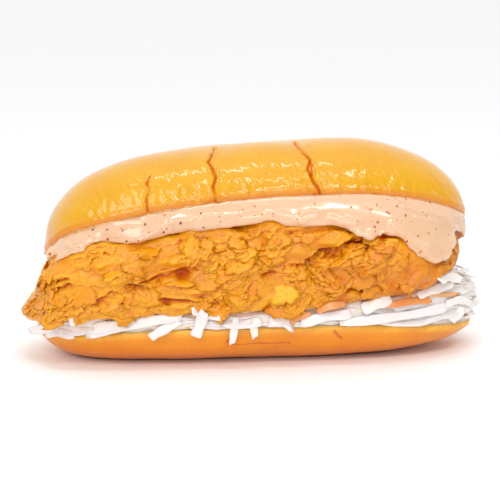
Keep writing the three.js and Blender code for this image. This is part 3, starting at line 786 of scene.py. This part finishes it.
def wrinkles(points, size, seed):
    """Thin winding crests, from -1 to 1."""
    place = along_flakes(warped(points, 0.45 * size, 0.9 * size, seed), 1.7, 1.0)
    return 1 - 2 * np.abs(noise(place, size, seed + 5)) ** 0.7


def near_surface(points, tree, reach):
    """1 where a point lies on a surface, down to 0 at reach mm away."""
    found = [tree.find_nearest(Vector(p), reach)[3] for p in points]
    return np.array([0.0 if distance is None else 1 - distance / reach for distance in found])


def crust_lumps():
    """Drops of crust that hang below the fillet's edge."""
    tree = tree_of(solid("chicken"))
    lumps = []
    for (px, py), radius in LUMPS:
        above, _ = seen_on(tree, (px, py - LUMP_HANGS))
        lumps.append((seen_at_depth(px, py, above.y + 2.0), Vector((0, -1, 0)), radius, 2.6))
    return lumps


def flaky_relief(points, rough):
    """Flakes and wrinkles of two sizes each, lower where the crust is smooth."""
    return (
        shingles(points, 11.0, 4.6, 31) * (0.35 + 0.65 * rough)
        + 0.6 * wrinkles(points, 4.2, 101) * (0.25 + 0.75 * rough)
        + 0.65 * shingles(points, 4.8, 2.2, 57) * (0.15 + 0.85 * rough)
        + 0.3 * wrinkles(points, 1.9, 131) * (0.35 + 0.65 * rough)
    )


def carve_ledges(raised, points, tree):
    """Adds ledges to a relief: the crust stands out above each and is cut away below it."""
    bent = warped(points, 0.9, 3.5, 71)
    for pixels, lift, depth, width in LEDGES:
        away, above = off_line(bent, line_on(tree, pixels))
        over = smoothstep(-0.3, 0.5, above)
        raised += lift * over * hill(away, 1.6 * width) - depth * (1 - over) * hill(away, width)


def crust_surface(dressing_tree):
    """The fillet's fine mesh with its relief, which is low under the dressing and on the underside.

    Also returns its normals and a search tree without the relief, and how rough and bare it is."""
    mesh = remeshed("chicken", 0.88, drops=crust_lumps())
    relax(mesh, 7)
    refine(mesh, normals_of(mesh)[:, 1] < -0.2)
    relax(mesh, 4)
    points = points_of(mesh)
    normals = normals_of(mesh)
    tree = tree_of(mesh)
    bare = 1 - smoothstep(0.1, 0.7, near_surface(points, dressing_tree, 2.4))
    bare *= 1 - 0.7 * smoothstep(-0.1, -0.5, normals[:, 2])
    smooth = near_pixels(points, tree, SMOOTH)
    rough = smoothstep(-0.5, 0.35, noise(points, 12, 91)) * (1 - 0.85 * smooth)
    raised = flaky_relief(points, rough) - PIT_DEPTH * near_pixels(points, tree, PITS)
    carve_ledges(raised, points, tree)
    move_vertices(mesh, points + normals * (raised * (0.25 + 0.75 * bare))[:, None])
    return mesh, normals, rough * bare, tree


def fillet_piece(mesh, tree):
    """The fillet: painted shade, redder, in its crevices and pits, painted light on its crests, and
    browner at the lower right.
    """
    points = points_of(mesh)
    # Painted shade in the pits.
    pit_shade = near_pixels(points, tree, PITS)
    # Painted light on the crests and painted shade in the crevices.
    relief_shading = 0.4 * standing_out(mesh, 14) + 0.6 * standing_out(mesh, 3)
    store(mesh, "painted_light_and_tone", np.clip(0.58 + relief_shading - 0.32 * pit_shade, 0, 1))
    right = smoothstep(0, 50, points[:, 0]) * smoothstep(50, 30, points[:, 2])
    brown = 0.5 * right + 0.3 * smoothstep(0.1, 0.8, noise(points, 17, 97))
    store(mesh, "brown", np.clip(brown, 0, 0.7))
    piece = new_piece("chicken_crust", mesh, chicken_look())
    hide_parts("chicken")


def ragged_plate(tree, centre, normal, turn, size, lift, random):
    """A thin torn plate that grows out of the crust and curls off it at its lower edge.

    Returns its vertices, its faces and how light each vertex is painted: painted highlight along the
    free rim and painted shade on the underside."""
    length, width = size
    level = Vector((0, 0, 1)).cross(normal).normalized()
    steep = normal.cross(level)
    along = level * cos(turn) + steep * sin(turn)
    across = along.cross(normal)
    sides = int(min(26, max(9, 1.5 * (length + width) / 0.85)))
    bulges = random.uniform(0.05, 0.25)
    phase = random.uniform(0, 2 * pi)
    curl = random.uniform(0.0, 0.35)
    torn = random.uniform(-0.22, 0.16, sides)
    wave = random.uniform(-0.3, 0.3, sides) * min(1.0, width / 3)

    def point(share, k, sink):
        angle = 2 * pi * k / sides
        reach = share * (1 + bulges * sin(3 * angle + phase) + torn[k])
        u, v = reach * cos(angle), reach * sin(angle)
        flat = centre + along * (u * length / 2) + across * (v * width / 2)
        found = tree.find_nearest(flat, 3.0)[0]
        follow = 0.75 * (found - flat).dot(normal) if found else 0.0
        free = min(1.0, max(0.0, (v + 0.9) / 1.9))
        risen = (lift + ROOT) * free * free * (3 - 2 * free)
        height = -ROOT + risen + (curl + wave[k]) * share**4 * free
        return flat + normal * (follow + height - sink)

    vertices = [point(share, k, sink) for share, sink in PLATE_RINGS for k in range(sides)]
    middle = point(0.0, 0, -0.15)
    vertices += [middle, middle - normal * 0.7]
    top, bottom = 3 * sides, 3 * sides + 1
    faces = []
    for k, n in ring_sides(sides):
        faces.append((k, n, sides + n, sides + k))
        faces.append((sides + k, sides + n, top))
        faces.append((n, k, 2 * sides + k, 2 * sides + n))
        faces.append((2 * sides + n, 2 * sides + k, bottom))
    # Painted highlight along the free rim, and painted shade on the underside.
    rim_highlight = [0.38 * max(0.0, sin(2 * pi * k / sides)) for k in range(sides)]
    light = rim_highlight + [0.06] * sides + [-0.22] * sides + [0.0, -0.25]
    return vertices, faces, np.array(light)


def flaking(normals, rough):
    """How likely a small flake grows at each point: on rough, steep parts and more at the front."""
    steep = smoothstep(0.85, 0.55, normals[:, 2]) * smoothstep(-0.5, -0.2, normals[:, 2])
    front = 0.3 + 0.7 * smoothstep(0.1, -0.5, normals[:, 1])
    weight = steep * front * rough**2.2
    return weight / weight.sum()


def flake_piece(crust, normals, rough, dressing_tree):
    """Torn plates on the crust that shows: the photograph's large ones and many small ones."""
    random = np.random.default_rng(12)
    tree = tree_of(crust)
    points = points_of(crust)
    heap = Gathered()
    for pixel, length, width, turn, lift, lightness in PLATES:
        place, _ = seen_on(tree, pixel)
        nearest = np.argmin(np.linalg.norm(points - np.array(place), axis=1))
        facing, size = Vector(normals[nearest]), (length, width)
        plate, faces, light = ragged_plate(tree, place, facing, radians(turn), size, lift, random)
        # The plate's lightness plus half its painted rim highlight and underside shade.
        heap.add(plate, faces, np.clip(lightness + 0.5 * light, 0, 1))
    for index in random.choice(len(points), SMALL_FLAKES, replace=False, p=flaking(normals, rough)):
        length = 1.8 + 7.5 * random.random() ** 2.2
        size = (length, length * random.uniform(0.4, 0.85))
        turn = FLAKE_CLIMB + random.normal(0, 0.5)
        lift = 0.15 + 0.08 * length * random.uniform(0.4, 1.2)
        place, facing = Vector(points[index]), Vector(normals[index])
        if not dressing_tree.find_nearest(place, 0.6 * length)[0]:
            plate, faces, light = ragged_plate(tree, place, facing, turn, size, lift, random)
            # Each flake's own tone plus its painted rim highlight and underside shade.
            heap.add(plate, faces, np.clip(random.normal(0.58, 0.07) + light, 0, 1))
    piece = heap.piece("chicken_flakes", "painted_light_and_tone", flake_look(), "chicken")
    store(piece.data, "brown", 0.3 * smoothstep(0, 50, points_of(piece.data)[:, 0]))


# --- the dressing

# Rolls that the dressing has run into: their pixels, and their height and half width in mm.
ROLLS = [
    ([(393, 226), (403, 234), (414, 242), (428, 248)], 1.08, 1.1),
    ([(404, 207), (420, 212), (434, 216), (449, 219)], 0.6, 0.8),
    ([(416, 216), (434, 222), (456, 228)], 0.6, 0.7),
    ([(86, 228), (104, 225), (122, 222), (140, 221)], 0.48, 0.8),
    ([(60, 241), (74, 247), (88, 243), (104, 245), (118, 244), (140, 240), (158, 230)], 0.72, 1.2),
    ([(172, 222), (181, 219), (192, 218)], 0.72, 1.6),
    ([(204, 217), (220, 215), (238, 214)], 0.48, 0.8),
    ([(268, 213), (288, 215), (300, 222), (316, 219)], 0.48, 0.9),
    ([(330, 219), (342, 223), (356, 224)], 0.72, 1.0),
    ([(346, 217), (362, 220)], 0.48, 0.5),
    ([(360, 206), (372, 208)], 0.48, 0.5),
    ([(398, 201), (410, 204)], 0.48, 0.5),
    ([(300, 211), (318, 212)], 0.36, 0.5),
    ([(432, 260), (444, 258), (450, 250), (451, 240)], 0.72, 1.4),
]
# Where the dressing has run down furthest: the pixel and the radius in mm.
DROPS = [
    ((52, 252), 3.0), ((369, 236), 2.6), ((424, 247), 4.4), ((433, 252), 4.4), ((442, 250), 4.4),
    ((448, 241), 3.6),
]
# Where its lower edge draws back: the pixel, the half width and how far up it moves, in mm.
NOTCHES = [((384, 238), 1.8, 2.0), ((346, 232), 4.0, 1.6), ((262, 220), 5.0, 0.6)]
SPECK_TRIES = 900


def dressing_drops():
    under = tree_of(solid("chicken"))
    seen = [(*seen_on(under, pixel), radius) for pixel, radius in DROPS]
    return [(place + normal * 1.1, normal, radius, 1.9) for place, normal, radius in seen]


def dressing_piece():
    """The dressing, with rounded edges, drops and low rolls. Returns a search tree of it."""
    mesh = remeshed("sauce", 0.66, grow_mm=0.8, drops=dressing_drops())
    relax(mesh, 30, swell=1.03)
    relax(mesh, 5)
    refine(mesh, normals_of(mesh)[:, 1] < -0.5)
    relax(mesh, 3)
    points = points_of(mesh)
    tree = tree_of(mesh)
    raised = 0.25 * noise(points * (0.4, 1, 1), 7, 43)
    bent = warped(points, 0.8, 5, 47)
    for pixels, height, width in ROLLS:
        away, _ = off_line(bent, line_on(tree, pixels))
        raised += height * hill(away, width)
    moved = points + normals_of(mesh) * raised[:, None]
    for pixel, width, lift in NOTCHES:
        moved[:, 2] += lift * near_pixels(points, tree, [(pixel, width)])
    move_vertices(mesh, moved)
    piece = new_piece("dressing", mesh, dressing_look())
    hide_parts("sauce")
    return tree_of(mesh)


def speck(centre, normal, size, random):
    """A flat grain of spice, half sunk."""
    sides = 6
    side = normal.orthogonal().normalized()
    other = normal.cross(side)
    ring = []
    for k in range(sides):
        angle = 2 * pi * k / sides
        reach = size / 2 * random.uniform(0.7, 1.2)
        ring.append(centre + side * cos(angle) * reach + other * sin(angle) * reach)
    vertices = ring + [centre + normal * size * 0.2, centre - normal * size * 0.3]
    faces = []
    for k, n in ring_sides(sides):
        faces += [(k, n, sides), (n, k, sides + 1)]
    return vertices, faces


def speck_piece(dressing_tree):
    """Spice on the dressing's front and back."""
    random = np.random.default_rng(5)
    low, high = [Vector(corner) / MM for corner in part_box("sauce")]
    heap = Gathered()
    for _ in range(SPECK_TRIES):
        x = random.uniform(low.x, high.x)
        z = random.uniform(low.z, high.z)
        side = -1 if random.random() < 0.7 else 1
        start = Vector((x, side * OUTSIDE, z))
        place, normal, _, _ = dressing_tree.ray_cast(start, Vector((0, -side, 0)))
        if place is not None:
            size = 0.3 + 0.85 * random.random() ** 2.5
            heap.add(*speck(place, normal, size, random), random.random() ** 0.7)
    heap.piece("dressing_specks", "variety", speck_look(), "sauce")


# --- the slaw

# Shreds that the photograph shows at the front: their pixels and their width in mm.
SEEN_CABBAGE = [
    ([(29, 331), (45, 329), (64, 331)], 3.52),
    ([(46, 334), (58, 333), (74, 336)], 3.08),
    ([(58, 325), (74, 331), (88, 330)], 3.3),
    ([(60, 328), (76, 326), (94, 328)], 3.74),
    ([(70, 322), (90, 323), (108, 325)], 3.3),
    ([(84, 331), (104, 327), (126, 324)], 3.96),
    ([(86, 335), (118, 328), (150, 321), (182, 317)], 3.74),
    ([(150, 338), (163, 330), (180, 321)], 3.52),
    ([(204, 311), (200, 325), (195, 337)], 4.18),
    ([(192, 311), (206, 313), (220, 318)], 3.3),
    ([(236, 317), (234, 331), (232, 344)], 2.75),
    ([(251, 322), (254, 330), (255, 338)], 2.75),
    ([(268, 323), (281, 320), (293, 327)], 4.62),
    ([(222, 322), (240, 325), (262, 321)], 3.52),
    ([(362, 310), (376, 304), (391, 298)], 4.62),
    ([(340, 323), (380, 319), (420, 313), (450, 306)], 3.52),
    ([(300, 324), (325, 317), (352, 314)], 3.74),
    ([(451, 321), (459, 314), (461, 306)], 3.08),
    ([(418, 296), (436, 289), (454, 284)], 3.3),
    ([(440, 281), (450, 277), (462, 280)], 3.52),
    ([(446, 305), (460, 300), (472, 304)], 3.08),
]
SEEN_CARROT = [
    ([(317, 312), (331, 306), (346, 304)], 2.64),
    ([(384, 306), (408, 302), (431, 300)], 2.64),
    ([(290, 323), (300, 317), (311, 313)], 2.42),
]
LYING_SHREDS = 420
END_SHREDS = 150
GOLDEN_SHARE = 0.618034  # of the bun's length: steps that spread the shreds evenly
IN_FRONT = 2.2  # mm from the bun's edge or the crust to the seen shreds
RIM_HEIGHT = 14.0  # about where the bun's rim lies, past which there is no cut face


class Bed:
    """The room for the slaw between the cut face, the crust and the edge of the bun."""

    def __init__(self):
        self.below = tree_of(solid("bun_bottom"))
        self.above = tree_of(solid("chicken"))
        self.half_length, self.half_width, _ = Vector(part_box("bun_bottom")[1]) / MM

    def floor(self, x, y):
        hit = self.below.ray_cast(Vector((x, y, OUTSIDE)), Vector((0, 0, -1)))[0]
        return hit.z if hit else RIM_HEIGHT

    def ceiling(self, x, y):
        hit = self.above.ray_cast(Vector((x, y, 5)), Vector((0, 0, 1)))[0]
        return hit.z if hit else OUTSIDE

    def depth(self, x):
        """More shreds lie at the right."""
        return 5.0 + 8.5 * min(1, max(0, (x + 80) / 110))

    def edge(self, x):
        """Half the bun's width at x."""
        share = min(1, abs(x) / self.half_length)
        return self.half_width * sqrt(1 - share**3.6)


def curve_through(path, pieces):
    """Evenly counted places on a smooth curve."""
    path = [Vector(p) for p in path]
    places = []
    for i in range(pieces + 1):
        t = i / pieces * (len(path) - 1)
        k = min(int(t), len(path) - 2)
        s = t - k
        a = path[max(k - 1, 0)]
        b, c = path[k], path[k + 1]
        d = path[min(k + 2, len(path) - 1)]
        bend = (2 * a - 5 * b + 4 * c - d) * s * s + (3 * b - a - 3 * c + d) * s**3
        places.append(0.5 * (2 * b + (c - a) * s + bend))
    return places


def squared(share):
    """A sine or cosine nearer to 1, which squares a round section."""
    return copysign(abs(share) ** 0.35, share)


def strip(path, width, thickness, flat, twist, random):
    """A shred along a path with slanting ends. Its broad side faces the way flat, but for its twist."""
    pieces, sides = 10, 8
    spine = curve_through(path, pieces)
    vertices = []
    wobble = random.uniform(0, 2 * pi)
    slants = random.uniform(-0.9, 0.9, 2)
    for i, centre in enumerate(spine):
        ahead = spine[min(i + 1, pieces)] - spine[max(i - 1, 0)]
        along = ahead.normalized()
        side = flat.cross(along).normalized()
        up = along.cross(side)
        turn = twist * (i / pieces - 0.5)
        across = side * cos(turn) + up * sin(turn)
        upward = up * cos(turn) - side * sin(turn)
        end = min(i, pieces - i) / pieces
        size = min(1.0, 0.65 + 3.0 * end) * (1 + 0.13 * sin(wobble + i * 1.1))
        slant = slants[0] * (i == 0) + slants[1] * (i == pieces)
        for k in range(sides):
            angle = 2 * pi * (k + 0.5) / sides
            u = squared(cos(angle)) * width / 2 * size
            v = squared(sin(angle)) * thickness / 2 * size
            vertices.append(centre + across * u + upward * v + along * u * slant)
    vertices += [spine[0], spine[-1]]
    faces = []
    for i in range(pieces):
        for k, n in ring_sides(sides):
            faces.append((i * sides + k, i * sides + n, (i + 1) * sides + n, (i + 1) * sides + k))
    last = pieces * sides
    for k, n in ring_sides(sides):
        faces += [(n, k, len(vertices) - 2), (last + k, last + n, len(vertices) - 1)]
    return vertices, faces


def lying_shred(bed, random, x, side, level):
    """A path along the bed's edge. Some at the front hang over the bun's rim."""
    length = random.uniform(12, 32)
    over_rim = side < 0 and random.random() < 0.15
    out = random.uniform(0.6, 1.8) if over_rim else random.uniform(-2.6, 0.4)
    lowest = 1.3 if over_rim else 2.0
    tilt = random.normal(0, 0.16)
    path = []
    for share in (-0.5, -0.2, 0.1, 0.5):
        px = max(-bed.half_length + 2, min(bed.half_length - 1, x + share * length))
        y = side * (bed.edge(px) - 0.9 + out + random.uniform(-1.0, 1.0))
        floor = bed.floor(px, side * max(0.0, bed.edge(px) - 2.5))
        ceiling = min(bed.ceiling(px, y), bed.ceiling(px, 0.9 * y), floor + bed.depth(px))
        room = max(1.4, ceiling - floor - 1.0)
        z = floor + lowest + room * level + tilt * share * length
        path.append((px, y, max(floor + lowest, min(floor + room + 0.6, z))))
    return path


def end_shred(bed, random, end, level):
    """A path on the heap at one of the bun's ends, whichever way it fell."""
    length = random.uniform(8, 20)
    heading = random.uniform(0, pi)
    x = end * (bed.half_length - 2 - 20 * random.random() ** 1.3)
    y = random.uniform(-0.9, 0.9) * bed.edge(x)
    path = []
    for share in (-0.5, 0.0, 0.5):
        px = max(1 - bed.half_length, min(bed.half_length - 1, x + share * length * cos(heading)))
        py = max(-bed.edge(px), min(bed.edge(px), y + share * length * sin(heading)))
        floor = bed.floor(0.97 * px, 0.9 * py)
        room = max(1.5, min(bed.ceiling(px, py), floor + bed.depth(px) + 2) - floor)
        path.append((px, py, floor + 1.0 + room * level))
    return path


def seen_shred(bed, pixels):
    """A path just in front of the bun's edge, or of the crust above it."""
    path = []
    for px, py in pixels:
        y = -bed.half_width
        for _ in range(3):
            place = seen_at_depth(px, py, y)
            y = -bed.edge(place.x) - IN_FRONT
        crust = bed.above.ray_cast(EYE, sight(px, py))[0]
        if crust and crust.y < place.y:
            place = crust - IN_FRONT * sight(px, py)
        path.append(place)
    return path


def bed_core(bed):
    """What fills the bed behind the shreds that show."""
    stations, across = 70, 16
    rings = []
    for i in range(1, stations):
        x = -0.97 * bed.half_length * cos(pi * i / stations)
        half = max(0.5, bed.edge(x) - 1.8)
        ys = [half * (2 * k / across - 1) for k in range(across + 1)]
        below = [(x, y, bed.floor(x, y) + 0.1) for y in ys]
        above = [(x, y, min(bed.ceiling(x, y) + 0.8, z + bed.depth(x))) for x, y, z in below]
        rings.append(above + below[::-1])
    size = len(rings[0])
    vertices = [p for ring in rings for p in ring]
    faces = []
    for start in range(0, (len(rings) - 1) * size, size):
        for k, n in ring_sides(size):
            faces.append((start + k, start + size + k, start + size + n, start + n))
    faces.append(tuple(range(size)))
    faces.append(tuple(range(len(vertices) - 1, len(vertices) - size - 1, -1)))
    mesh = mesh_of("slaw_core", vertices, faces)
    store(mesh, "variety", [0.5] * len(vertices))
    return mesh


def add_lying_shreds(bed, cabbage, carrot, random):
    """Shreds along the bun's edges, three in five of them at the front."""
    for i in range(LYING_SHREDS):
        x = bed.half_length * (2 * ((i * GOLDEN_SHARE) % 1) - 1) * 0.98
        side = -1 if i % 5 < 3 else 1
        path = lying_shred(bed, random, x, side, random.random() ** 0.9)
        flat = Vector((0, side * 0.8, 0.6 + random.normal(0, 0.35))).normalized()
        heap = carrot if random.random() < 0.05 else cabbage
        width = random.uniform(2.4, 4.6) if heap is cabbage else random.uniform(1.5, 2.2)
        shred = strip(path, width, random.uniform(0.6, 1.1), flat, random.normal(0, 0.5), random)
        heap.add(*shred, random.random())


def add_end_shreds(bed, cabbage, carrot, random):
    """Shreds at the bun's ends, two in three of them at the right."""
    for i in range(END_SHREDS):
        path = end_shred(bed, random, 1 if i % 3 else -1, random.random())
        flat = Vector((random.normal(0, 0.4), random.normal(0, 0.4), 1)).normalized()
        shred = strip(path, random.uniform(2.4, 4.2), 0.8, flat, random.normal(0, 0.5), random)
        heap = carrot if random.random() < 0.06 else cabbage
        heap.add(*shred, random.random())


def add_seen_shreds(bed, heap, seen, random):
    """The shreds that the photograph shows one by one."""
    for pixels, width in seen:
        path = seen_shred(bed, pixels)
        flat = Vector((0, -1, random.uniform(0.1, 0.5))).normalized()
        shred = strip(path, width, 0.45, flat, random.normal(0, 0.3), random)
        heap.add(*shred, random.uniform(0.15, 0.75))


def slaw_pieces():
    random = np.random.default_rng(8)
    bed = Bed()
    cabbage, carrot = Gathered(), Gathered()
    add_lying_shreds(bed, cabbage, carrot, random)
    add_end_shreds(bed, cabbage, carrot, random)
    add_seen_shreds(bed, cabbage, SEEN_CABBAGE, random)
    add_seen_shreds(bed, carrot, SEEN_CARROT, random)
    wet_white = cabbage_look()
    cabbage.piece("cabbage", "variety", wet_white, "slaw")
    carrot.piece("carrot", "variety", carrot_look(), "slaw")
    core = new_piece("slaw_core", bed_core(bed), wet_white)
    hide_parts("slaw")


# --- floor, light and camera

LIT = Vector((0, 0, 0.04))  # the part's middle in metres, where the lamps point


def aim(thing, place, target):
    """Puts a camera or lamp at a place and turns it to its target, both in metres."""
    thing.location = place
    thing.rotation_euler = (target - place).to_track_quat("-Z", "Y").to_euler()


def add_camera():
    camera = new_object("camera", bpy.data.cameras.new("camera"))
    camera.data.lens = camera.data.sensor_width * FOCAL_PIXELS / PICTURE
    aim(camera, EYE * MM, VIEW_TARGET * MM)
    bpy.context.scene.camera = camera


def add_lamp(name, kind, azimuth, elevation, distance, power):
    light = bpy.data.lights.new(name, kind)
    light.energy = power
    aim(new_object(name, light), around(azimuth, elevation, distance), LIT)
    return light


def add_softbox(name, azimuth, elevation, distance, size, power):
    light = add_lamp(name, "AREA", azimuth, elevation, distance, power)
    light.shape = "RECTANGLE"
    light.size, light.size_y = size


def add_sky():
    """Soft white light from all round, weaker from the front."""
    world = bpy.data.worlds.new("studio")
    bpy.context.scene.world = world
    sky = Nodes(world)
    background = sky.tree.nodes["Background"]
    place = sky.node("ShaderNodeTexCoord")
    turned = sky.node("ShaderNodeVectorMath", operation="DOT_PRODUCT")
    turned.inputs[1].default_value = (0.0, 0.75, 0.66)  # towards the back and up
    sky.link(place.outputs["Generated"], turned.inputs[0])
    levels = [(0.0, (0.34, 0.34, 0.34, 1)), (0.5, (1.06, 1.06, 1.06, 1))]
    sky.link(sky.ramp(turned.outputs["Value"], levels), background.inputs["Color"])


def add_studio():
    far = 20.0 / MM
    corners = [(-far, -far, 0), (far, -far, 0), (far, far, 0), (-far, far, 0)]
    ground = new_object("floor", mesh_of("floor", corners, [(0, 1, 2, 3)]))
    ground.data.materials.append(floor_look())
    add_sky()
    key = add_lamp("key", "SUN", -28, 36, 1.0, 0.75)
    key.angle = radians(26)
    add_softbox("fill", -4, 7, 1.1, (1.0, 0.16), 0.6)
    add_softbox("sheen", -8, 20, 1.1, (0.9, 0.06), 2.0)
    add_softbox("low glints", 20, 48, 0.9, (0.4, 0.05), 1.2)
    add_softbox("high glints", -12, 76, 0.9, (0.4, 0.05), 1.2)
    bpy.context.scene.view_settings.view_transform = "Standard"


# --- the build

add_camera()
crown_piece()
heel_piece()
dressing_tree = dressing_piece()
speck_piece(dressing_tree)
crust, plain_normals, rough, plain_tree = crust_surface(dressing_tree)
fillet_piece(crust, plain_tree)
flake_piece(crust, plain_normals, rough, dressing_tree)
slaw_pieces()
add_studio()

bpy.context.view_layer.update()
